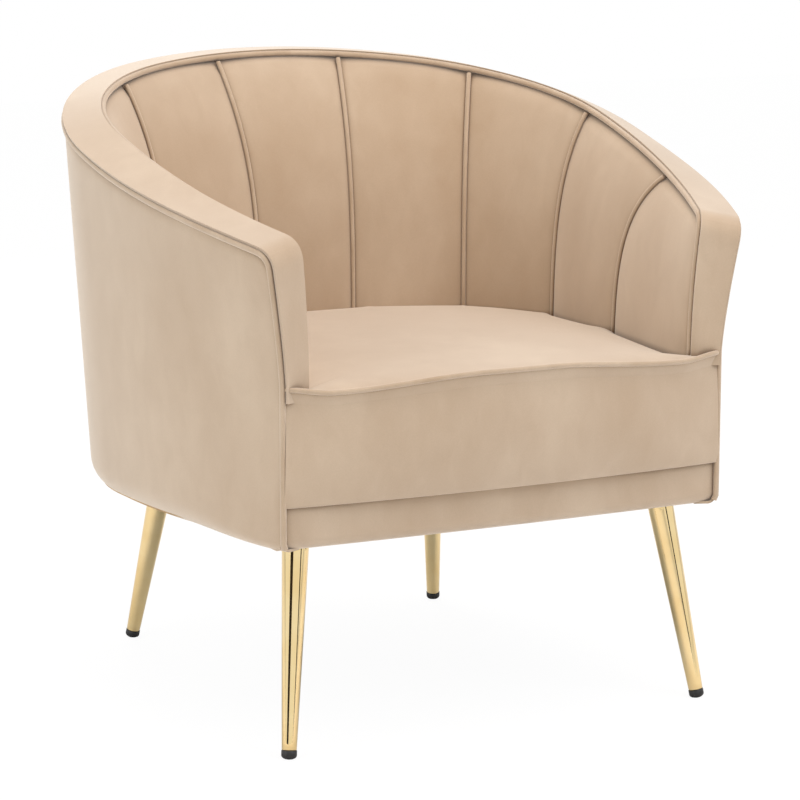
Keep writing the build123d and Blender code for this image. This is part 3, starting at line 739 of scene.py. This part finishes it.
    def strip(self, inner: np.ndarray, outer: np.ndarray) -> tuple[np.ndarray, np.ndarray]:
        """A padded strip between two edge lines, sunk beside the pipings along them.

        Args:
            inner: Points of one edge.
            outer: As many points of the other edge.

        Returns:
            Point grids of the shown and the hidden side.
        """
        across = 0.5 - 0.5 * np.cos(np.linspace(0.0, math.pi, 25))
        along = unit(np.gradient(inner, axis=0) + np.gradient(outer, axis=0))
        normal = unit(np.cross(outer - inner, along))
        flat = inner[:, None] + (outer - inner)[:, None] * across[None, :, None]
        rise = (self.band_bulge + self.band_sink) * (1 - np.abs(2 * across - 1) ** 4.0) - self.band_sink
        front = flat + normal[:, None] * rise[None, :, None]
        return front, flat - normal[:, None] * self.band_depth

    def rim_band_and_arm_fronts(self) -> None:
        """Make the rim band and the two arm-front panels, which meet at the rounded corner."""
        outer, turn = self.edge_path(True, self.seat_line - self.panel_tuck)
        inner, _ = self.edge_path(False, self.seat_line - self.panel_tuck)
        front, back = self.strip(self.mirrored(inner), self.mirrored(outer))
        middle = len(inner) - 1
        band = slice(middle - turn, middle + turn + 1)
        self.maker.pad("rim_band_cover", front[band], back[band], "rim_band", 0.5)
        panels = {Side.LEFT: slice(0, middle - turn + 1), Side.RIGHT: slice(middle + turn, None)}
        for side, rows in panels.items():
            name = side.name.lower()
            self.maker.pad(f"arm_front_panel_{name}", front[rows], back[rows], f"arm_front_{name}", 0.5)

    def cover(self) -> None:
        """Make the outside cover: leaning wall, waisted at the arms, rolled under."""
        end = 1 - np.geomspace(1e-4, 0.12, 26)[::-1]
        right = np.unique(np.concatenate([np.linspace(0.0, 0.88, 80), end, [1.0]]))
        shares = np.concatenate([-right[:0:-1], right])
        rolls = self.roll + (self.front_roll - self.roll) * smooth_step(np.abs(shares), 0.75, 1.0)
        base = self.underside + rolls[None, :]
        levels = np.concatenate([np.linspace(0.0, 0.96, 30), [0.975, 0.985, 0.993, 1.0]])
        share, level = np.meshgrid(shares, levels)
        length = self.rim.side_radius * math.radians(self.rim.arm_sweep) + self.back_length
        from_end = (1 - np.abs(share)) * length
        cut = np.clip(self.corner - from_end, 0.0, self.corner)
        drop = self.corner - np.sqrt(self.corner**2 - cut**2)
        top_flat, _ = self.rim.at(share, self.rim_width)
        top = self.outer_height(top_flat[..., 1]) - drop
        z = base + level * (top - base)
        straight = self.body_offset + (self.rim_width - self.body_offset) * level
        waisted = self.front_offset(z, True)
        weight = smooth_step(np.abs(share), 0.60, 1.0)
        sunk = self.cover_sink * smooth_step(level, 0.965, 1.0)
        offset = straight + (waisted - straight) * weight - sunk
        flat, normal = self.rim.at(share, offset)
        wall = np.concatenate([flat, z[..., None]], -1)
        angle = np.linspace(math.pi / 2, 0.0, 10)[:-1]
        rolled = []
        ring, _ = self.rim.at(shares, offset[0] - rolls - self.tuck)
        rolled.append(np.column_stack([ring, np.full(len(shares), self.underside)]))
        for a in angle:
            ring, _ = self.rim.at(shares, offset[0] - rolls * (1 - math.cos(a)))
            rolled.append(np.column_stack([ring, self.underside + rolls * (1 - math.sin(a))]))
        front = np.concatenate([np.array(rolled), wall])
        down = np.gradient(front, axis=0)
        along = np.gradient(front, axis=1)
        outward = unit(np.cross(along, down))
        outward *= np.sign(np.sum(outward[len(rolled) :, :, :2].mean(0) * normal[0], -1))[None, :, None]
        self.maker.pad("outside_cover", front, front - outward * self.cover_thickness, "outer_cover", 0.3)

    def build(self) -> None:
        """Make every piece of the shell."""
        self.cover()
        self.rim_band_and_arm_fronts()
        self.channels()
        self.piping()


@dataclass
class Seat:
    """The fixed seat: crowned top, piped front edge, bulged boxing and the rail band below."""

    maker: MeshMaker
    cords: PipingCord
    shell: Shell
    base: float = 300.0 * MM
    crown: float = 440.0 * MM
    rear_edge: float = 412.0 * MM
    ear_half: float = 280.0 * MM
    welt_front: float = -342.5 * MM
    welt_ear: float = -320.0 * MM
    welt_middle_height: float = 427.0 * MM
    welt_dip: float = 10.5 * MM
    ear_rise: float = 5.5 * MM
    boxing_half: float = 283.5 * MM
    boxing_bottom: float = 291.0 * MM
    boxing_foot_front: float = -331.0 * MM
    boxing_foot_end: float = -317.5 * MM
    boxing_bulge: float = 9.0 * MM
    rail_half: float = 285.0 * MM
    rail_front: float = -318.0 * MM
    rail_end: float = -312.5 * MM
    rail_roll: float = 14.0 * MM
    welt_radius: float = 3.0 * MM
    centre: tuple[float, float] = (0.0, -0.2)
    skirt_share: float = 0.88
    skirt_height: float = 40.0 * MM
    edge_sink: float = 1.8 * MM
    edge_pull: float = 12.0
    ear_forward: float = 4.5 * MM
    side_fall: float = 15.0 * MM
    depth_fall: float = 14.0 * MM
    boxing_setback: float = 4.5 * MM
    boxing_drop: float = 2.0 * MM
    boxing_thickness: float = 3.0 * MM
    boxing_rear: float = -313.5 * MM
    hem: tuple[tuple[float, float], ...] = ((6.0, 1.0), (2.4, -1.6), (0.7, -1.0))
    rail_heights: tuple[float, ...] = (26.0, 36.0, 46.0, 54.0)
    rail_tuck: float = 16.0 * MM

    def front_line(self, x: np.ndarray) -> np.ndarray:
        """Points of the piped front edge at places across the seat."""
        share = np.abs(x) / self.ear_half
        y = self.welt_front + (self.welt_ear - self.welt_front) * share**2
        dip = self.welt_dip * smooth_step(share, 0.15, 0.82)
        z = self.welt_middle_height - dip + self.ear_rise * smooth_step(share, 0.82, 1.0)
        return np.column_stack([x, y, z])

    def outline(self) -> tuple[np.ndarray, np.ndarray]:
        """Closed outline of the seat's top, and which of its points lie on the front edge."""
        shell = self.shell
        inside = []
        across = np.linspace(0.0, 1.0, 25)[:-1]
        for number in range(2 * len(shell.seam_rim) - 1):
            level = np.full_like(across, 0.26)
            inside.append(shell.channel_front(number, across, level)[:, :2])
        inside = np.concatenate(inside)
        inward = unit(inside - np.array([0.0, -0.05]))
        inside = inside - inward * 0.4 * MM
        root, along, forward = shell.arm_frame()
        ahead = forward * self.ear_forward
        face = root + along * (shell.rim.side_radius - shell.arm_inner_foot - 3 * MM) + ahead
        ear = root + along * (shell.rim.side_radius + shell.body_offset - 6 * MM) + ahead
        step = np.linspace(0.0, 1.0, 8)[:, None]
        right_ear = face + (ear - face) * step
        left_ear = right_ear[::-1] * np.array([-1.0, 1.0])
        front = self.front_line(np.linspace(self.ear_half, -self.ear_half, 120))[:, :2]
        keep = inside[:, 1] > face[1] + 1.5 * MM
        parts = [inside[keep], right_ear, front, left_ear]
        flags = [np.zeros(len(p)) for p in parts]
        flags[2][:] = 1.0
        return np.concatenate(parts), np.concatenate(flags)

    def dome(self, x: np.ndarray, y: np.ndarray) -> np.ndarray:
        """Height of the free crown of the seat."""
        side = self.side_fall * np.abs(x / 0.285) ** 2.2
        depth = self.depth_fall * np.abs((y + 0.05) / 0.29) ** 2.2
        return self.crown - side - depth

    def top(self) -> None:
        """Make the crowned seat top with its ears."""
        outline, is_front = self.outline()
        centre = np.array(self.centre)
        front_z = self.front_line(outline[:, 0])[:, 2] - self.edge_sink
        ear = smooth_step(np.abs(outline[:, 0]), 0.245, 0.262) * smooth_step(-outline[:, 1], 0.29, 0.305)
        rear_z = self.rear_edge + (front_z - 2 * MM - self.rear_edge) * ear
        edge_z = np.where(is_front > 0, front_z, rear_z)
        closer = 1 - 0.3 * np.linspace(1.0, 0.0, 30)[1:] ** 1.8
        shares = np.concatenate([np.linspace(0.0, 0.7, 15)[1:], closer])
        rings = []
        for share in shares:
            flat = centre + (outline - centre) * share
            free = self.dome(flat[:, 0], flat[:, 1])
            rings.append(np.column_stack([flat, free + (edge_z - free) * share**self.edge_pull]))
        hidden = centre + (outline - centre) * self.skirt_share
        for height in (self.base + self.skirt_height, self.base):
            rings.append(np.column_stack([hidden, np.full(len(hidden), height)]))
        points, faces = self.maker.stacked_rings(np.array(rings))
        points[len(points) - 2, 2] = self.dome(centre[0], centre[1])
        self.maker.piece("seat_top", points, faces, Slot.VELVET, ("seat_cushion",), fill=0.8)

    def boxing(self) -> None:
        """Make the bulged front of the seat."""
        x_top = np.linspace(-1.0, 1.0, 121)
        level = np.linspace(0.0, 1.0, 30)
        share, up = np.meshgrid(x_top, level)
        top = self.front_line(x_top * self.ear_half)
        foot_y = self.boxing_foot_front + (self.boxing_foot_end - self.boxing_foot_front) * x_top**2
        x = share * (self.boxing_half + (self.ear_half - self.boxing_half) * up)
        straight = foot_y[None, :] + (top[:, 1] + self.boxing_setback - foot_y)[None, :] * up
        bulge = self.boxing_bulge * (1 - 0.75 * np.abs(share) ** 3) * np.sin(math.pi * up**0.8)
        z = self.boxing_bottom + (top[:, 2][None, :] - self.boxing_drop - self.boxing_bottom) * up
        front = np.stack([x, straight - bulge, z], -1)
        back = front.copy()
        back[..., 1] = np.maximum(front[..., 1] + self.boxing_thickness, self.boxing_rear)
        hem = [front[0] + np.array([0.0, y, z]) * MM for y, z in self.hem]
        front = np.concatenate([np.array(hem), front])
        turned = back[:1] + np.array([0.0, 1.0, 1.0]) * self.boxing_thickness
        back = np.concatenate([np.repeat(turned, len(hem), axis=0), back])
        self.maker.pad("seat_boxing", front, back, "seat_front_boxing", 0.7)

    def rail_band(self) -> None:
        """Make the covered band on the front rail, rolled under at the bottom."""
        share = np.linspace(-1.0, 1.0, 81)
        x = share * self.rail_half
        front_y = self.rail_front + (self.rail_end - self.rail_front) * share**2
        bottom = self.shell.underside
        angle = np.linspace(math.pi / 2, 0.0, 9)
        profile = [(self.rail_tuck + self.rail_roll, 0.0)]
        profile += [(self.rail_roll * (1 - math.cos(a)), self.rail_roll * (1 - math.sin(a))) for a in angle]
        profile += [(0.0, height * MM) for height in self.rail_heights]
        rows = [np.column_stack([x, front_y + inset, np.full_like(x, bottom + up)]) for inset, up in profile]
        front = np.array(rows)
        back = front + np.array([0.0, 4.0 * MM, 0.0])
        back[: len(angle) + 1, :, 2] += 2.5 * MM
        self.maker.pad("rail_band", front, back, "front_rail_cover", 0.3)

    def piping(self) -> None:
        """Lay the piping along the seat's front edge and round its ears."""
        path = self.front_line(np.linspace(-self.ear_half, self.ear_half, 160))
        hook = np.array([[0.0, 3.0, 0.6], [-3.0, 6.5, 1.2], [-9.0, 8.0, 1.4]]) * MM
        right = path[-1] + hook
        left = (path[0] + hook * np.array([-1.0, 1.0, 1.0]))[::-1]
        whole = np.concatenate([left, path, right])
        self.cords.lay("seat_piping", [whole], self.welt_radius, ("seat_welt",))

    def build(self) -> None:
        """Make every piece of the seat."""
        self.top()
        self.boxing()
        self.rail_band()
        self.piping()


@dataclass
class Underside:
    """The dust cloth under the base, with the staples that hold its edge."""

    maker: MeshMaker
    cords: PipingCord
    shell: Shell
    offset: float = -15.0 * MM
    front: float = -289.0 * MM
    level: float = 238.2 * MM
    thickness: float = 0.8 * MM
    pucker: float = 0.5 * MM
    staple_pitch: float = 38.0 * MM
    staple_crown: float = 10.0 * MM
    staple_inset: float = 7.0 * MM
    staple_leg: float = 2.0 * MM
    staple_wire_radius: float = 0.45 * MM

    def outline(self, inset: float = 0.0) -> np.ndarray:
        """Closed edge of the cloth, moved inwards."""
        flat, _ = self.shell.rim.at(np.linspace(-1.0, 1.0, 241), self.offset - inset)
        flat = flat[flat[:, 1] > self.front + inset]
        closing = np.linspace(flat[-1], flat[0], 60)[1:-1]
        return np.concatenate([flat, closing])

    def build(self) -> None:
        """Make the cloth and its staples."""
        edge = self.outline()
        middle = edge.mean(axis=0)
        travel = np.cumsum(np.linalg.norm(np.diff(edge, axis=0, prepend=edge[-1:]), axis=1))
        waves = np.cos(travel / self.staple_pitch * 2 * math.pi)
        rings = []
        outwards = np.linspace(0.02, 1.0, 24)
        for drop, shares in ((0.0, outwards), (self.thickness, outwards[::-1])):
            for share in shares:
                flat = middle + (edge - middle) * share
                height = self.level - drop + self.pucker * waves * share**8 * 0.5
                rings.append(np.column_stack([flat, height]))
        points, faces = self.maker.stacked_rings(np.array(rings))
        cloth = self.maker.piece("dust_cloth", points, faces, Slot.DUST, ("dust_cover",))
        self.staples()

    def staples(self) -> None:
        """Drive staples along the edge of the cloth."""
        line = self.outline(self.staple_inset)
        travel = np.cumsum(np.linalg.norm(np.diff(line, axis=0, prepend=line[:1]), axis=1))
        crown = self.staple_crown / 2
        level = self.level - self.thickness
        paths = []
        for start in np.arange(self.staple_pitch, travel[-1], self.staple_pitch):
            reach = np.array([start - crown, start + crown])
            first, last = np.column_stack([np.interp(reach, travel, line[:, axis]) for axis in (0, 1)])
            up = level + self.staple_leg
            paths.append(np.array([[*first, up], [*first, level], [*last, level], [*last, up]]))
        wire = self.staple_wire_radius
        self.cords.lay("dust_cloth_staples", paths, wire, slot=Slot.ZINC, step=1.0 * MM)


@dataclass
class Legs:
    """Four splayed, tapered gold tubes with black push-in glides."""

    maker: MeshMaker
    top_radius: float = 15.5 * MM
    foot_radius: float = 8.5 * MM
    top_height: float = 237.0 * MM
    glide_height: float = 10.0 * MM
    wall: float = 2.0 * MM
    edge_ease: float = 0.8 * MM
    socket_depth: float = 6.0 * MM
    glide_lip: float = 0.4 * MM
    glide_ease: float = 0.6 * MM
    glide_dome_middle: float = 4.2 * MM
    glide_dome_rise: float = 5.0 * MM
    stem_inset: float = 2.4 * MM
    stem_length: float = 10.0 * MM
    sides: int = 64
    feet: dict[str, tuple[float, float, float, float]] = field(
        default_factory=lambda: {
            "front": (0.2720, -0.3010, 0.2414, -0.2575),
            "back": (0.2223, 0.2760, 0.1923, 0.2260),
        }
    )

    def rings(self, foot: np.ndarray, axis: np.ndarray, profile: list[tuple[float, float]]) -> np.ndarray:
        """Rings of a turned shape.

        Args:
            foot: Where the axis meets the floor.
            axis: Direction of the axis, upwards.
            profile: Radius and distance along the axis, in order.

        Returns:
            Ring by point by coordinate.
        """
        side = unit(np.cross(axis, np.array([0.0, 1.0, 0.0])))
        other = np.cross(axis, side)
        angle = np.linspace(0.0, 2 * math.pi, self.sides, endpoint=False)
        circle = np.outer(np.cos(angle), side) + np.outer(np.sin(angle), other)
        return np.array([foot + axis * distance + circle * radius for radius, distance in profile])

    def tube_profile(self, length: float) -> list[tuple[float, float]]:
        """Radius and distance along a leg of a length, from the eased foot to the socket."""
        start, ease = self.glide_height, self.edge_ease
        profile = [(self.foot_radius - self.wall, start), (self.foot_radius - ease, start)]
        profile += [(self.foot_radius - ease * 0.3, start + ease * 0.3), (self.foot_radius, start + ease)]
        for distance in np.linspace(start + ease, length + self.socket_depth, 30)[1:]:
            share = (distance - start) / (length - start)
            profile.append((self.foot_radius + (self.top_radius - self.foot_radius) * share, distance))
        return profile

    def glide_profile(self) -> list[tuple[float, float]]:
        """Radius and distance along a glide, from its dome to the end of its stem."""
        start = self.glide_height
        reach = self.foot_radius + self.glide_lip
        stem = self.foot_radius - self.stem_inset
        profile = []
        for angle in np.linspace(0.1, math.pi / 2, 9):
            height = self.glide_dome_middle - self.glide_dome_rise * math.cos(angle)
            profile.append((reach * math.sin(angle), height))
        profile += [(reach, start - self.glide_ease), (reach - self.glide_ease, start)]
        return profile + [(stem, start), (stem, start + self.stem_length)]

    def build(self) -> None:
        """Make the legs and glides."""
        for row, (foot_x, foot_y, top_x, top_y) in self.feet.items():
            for side in Side:
                foot = np.array([side.value * foot_x, foot_y, 0.0])
                head = np.array([side.value * top_x, top_y, self.top_height])
                axis = unit(head - foot)
                name = f"{row}_{side.name.lower()}"
                tube = self.rings(foot, axis, self.tube_profile(float(np.linalg.norm(head - foot))))
                tube[..., 2] = np.minimum(tube[..., 2], self.top_height)
                points, faces = self.maker.stacked_rings(tube)
                self.maker.piece(f"gold_leg_{name}", points, faces, Slot.GOLD, (f"leg_{name}",))
                base = self.rings(foot, axis, self.glide_profile())
                base[..., 2] = np.maximum(base[..., 2], 0.0)
                points, faces = self.maker.stacked_rings(base)
                self.maker.piece(f"glide_{name}", points, faces, Slot.GLIDE, (f"foot_{name}",))


@dataclass
class Studio:
    """White floor, soft light and the photograph's camera."""

    azimuth: float = -27.43
    elevation: float = 10.5
    distance: float = 3.557
    lens: float = 130.4
    target: tuple[float, float, float] = (0.0, -0.0125, 0.319)
    shift: tuple[float, float] = (0.0175, 0.0204)
    world_fill: float = 0.62
    floor_half: float = 9.0
    floor_glow: float = 1.04
    floor_glow_share: float = 0.9
    aim_height: float = 0.4
    card_distance: float = 2.6
    card_height: float = 1.3

    def camera(self) -> None:
        """Place the camera."""
        azimuth, elevation = math.radians(self.azimuth), math.radians(self.elevation)
        level = math.cos(elevation)
        back = Vector((math.sin(azimuth) * level, -math.cos(azimuth) * level, math.sin(elevation)))
        data = bpy.data.cameras.new("photo_camera")
        data.lens = self.lens
        data.sensor_width = 36.0
        data.shift_x, data.shift_y = self.shift
        camera = bpy.data.objects.new("photo_camera", data)
        camera.location = Vector(self.target) + back * self.distance
        camera.rotation_mode = "QUATERNION"
        camera.rotation_quaternion = (-back).to_track_quat("-Z", "Y")
        bpy.context.scene.collection.objects.link(camera)
        bpy.context.scene.camera = camera

    def lamp(
        self, name: str, place: tuple[float, float, float], size: float, watts: float, tint: str = "#FFFFFF"
    ) -> None:
        """Add a square soft light that looks at the chair.

        Args:
            name: Its name.
            place: Its position.
            size: Its side.
            watts: Its power.
            tint: Its colour.
        """
        data = bpy.data.lights.new(name, "AREA")
        data.energy = watts
        data.color = linear(tint)[:3]
        data.size = size
        lamp = bpy.data.objects.new(name, data)
        lamp.location = place
        aim = Vector((0.0, 0.0, self.aim_height)) - Vector(place)
        lamp.rotation_mode = "QUATERNION"
        lamp.rotation_quaternion = aim.to_track_quat("-Z", "Y")
        bpy.context.scene.collection.objects.link(lamp)

    def world(self) -> None:
        """White surroundings, dimmer as a light than as a background."""
        world = bpy.data.worlds.new("studio")
        bpy.context.scene.world = world
        world.use_nodes = True
        tree = world.node_tree
        tree.nodes.clear()
        rays = add_node(tree, "ShaderNodeLightPath")
        seen = add_node(
            tree, "ShaderNodeMath",
            {0: rays.outputs["Is Camera Ray"], 1: rays.outputs["Is Glossy Ray"]}, operation="MAXIMUM",
        )
        seen = add_node(
            tree, "ShaderNodeMath",
            {0: seen.outputs[0], 1: rays.outputs["Is Transmission Ray"]}, operation="MAXIMUM",
        )
        strength = add_node(
            tree, "ShaderNodeMapRange", {"Value": seen.outputs[0], "To Min": self.world_fill, "To Max": 1.0}
        )
        sky = add_node(
            tree, "ShaderNodeBackground", {"Color": (1.0, 1.0, 1.0, 1.0), "Strength": strength.outputs[0]}
        )
        add_node(tree, "ShaderNodeOutputWorld", {"Surface": sky.outputs[0]})

    def floor(self) -> None:
        """White floor that keeps a faint shadow."""
        half = self.floor_half
        corners = [(-half, -half, 0), (half, -half, 0), (half, half, 0), (-half, half, 0)]
        mesh = bpy.data.meshes.new("floor")
        mesh.from_pydata(corners, [], [[0, 1, 2, 3]])
        material, tree, shader = new_material("studio_floor")
        shader.inputs["Base Color"].default_value = linear("#F4F4F4")
        shader.inputs["Roughness"].default_value = 0.9
        rays = add_node(tree, "ShaderNodeLightPath")
        white = add_node(
            tree, "ShaderNodeEmission", {"Color": (1.0, 1.0, 1.0, 1.0), "Strength": self.floor_glow}
        )
        share = add_node(
            tree, "ShaderNodeMath",
            {0: rays.outputs["Is Camera Ray"], 1: self.floor_glow_share}, operation="MULTIPLY",
        )
        mix = add_node(
            tree, "ShaderNodeMixShader", {0: share.outputs[0], 1: shader.outputs[0], 2: white.outputs[0]}
        )
        outlet = next(n for n in tree.nodes if n.type == "OUTPUT_MATERIAL")
        tree.links.new(mix.outputs[0], outlet.inputs["Surface"])
        mesh.materials.append(material)
        floor = bpy.data.objects.new("floor", mesh)
        bpy.context.scene.collection.objects.link(floor)

    def reflection_card(self, name: str, azimuth: float, width: float) -> None:
        """Stand a dark card by the camera that only reflections show.

        Args:
            name: Its name.
            azimuth: Its direction from the chair, in degrees.
            width: Its width.
        """
        angle = math.radians(azimuth)
        middle = Vector((math.sin(angle), -math.cos(angle), 0.0)) * self.card_distance
        across = Vector((math.cos(angle), math.sin(angle), 0.0)) * (width / 2)
        rise = Vector((0.0, 0.0, self.card_height))
        corners = [middle - across, middle + across, middle + across + rise, middle - across + rise]
        mesh = bpy.data.meshes.new(name)
        mesh.from_pydata([tuple(c) for c in corners], [], [[0, 1, 2, 3]])
        material, _, shader = new_material(name)
        shader.inputs["Base Color"].default_value = linear("#1C140A")
        shader.inputs["Roughness"].default_value = 0.9
        mesh.materials.append(material)
        card = bpy.data.objects.new(name, mesh)
        card.visible_camera = False
        card.visible_diffuse = False
        card.visible_shadow = False
        bpy.context.scene.collection.objects.link(card)

    def build(self) -> None:
        """Set up the studio."""
        bpy.context.scene.view_settings.view_transform = "Standard"
        self.camera()
        self.world()
        self.floor()
        self.lamp("top_light", (0.3, -0.5, 3.0), 2.2, 37.0, "#FFE6CE")
        self.lamp("key_light", (1.3, -2.5, 2.6), 1.8, 32.0, "#F3F6FF")
        self.lamp("fill_light", (-2.8, -0.6, 1.6), 2.0, 24.0)
        self.lamp("rear_light", (0.6, 3.0, 2.0), 1.8, 22.0)
        self.reflection_card("left_card", -52.0, 1.0)
        self.reflection_card("right_card", 18.0, 0.4)


def dress_frame(materials: dict[Slot, bpy.types.Material]) -> None:
    """Give the carried-over solids the finish of their slot.

    Args:
        materials: Finish for each slot.
    """
    slots = {row["node"]: Slot(row["material_slot"]) for row in frame["record"]["subparts"]}
    for node, piece in frame["nodes"].items():
        piece.data.materials.clear()
        piece.data.materials.append(materials[slots[node]])


def main() -> None:
    """Build and dress the chair."""
    logging.basicConfig(level=logging.INFO)
    finishes = {
        Slot.VELVET: VELVET, Slot.PIPING: PIPING_VELVET, Slot.WOOD: WOOD, Slot.PLY: PLY,
        Slot.WEBBING: WEBBING, Slot.DUST: DUST, Slot.GOLD: GOLD, Slot.GLIDE: GLIDE, Slot.ZINC: ZINC,
    }
    materials = {slot: finish.material() for slot, finish in finishes.items()}
    dress_frame(materials)
    maker = MeshMaker(materials)
    cords = PipingCord(maker)
    shell = Shell(maker, cords)
    shell.build()
    Seat(maker, cords, shell).build()
    Underside(maker, cords, shell).build()
    Legs(maker).build()
    Studio().build()


if __name__ == "__main__":
    main()
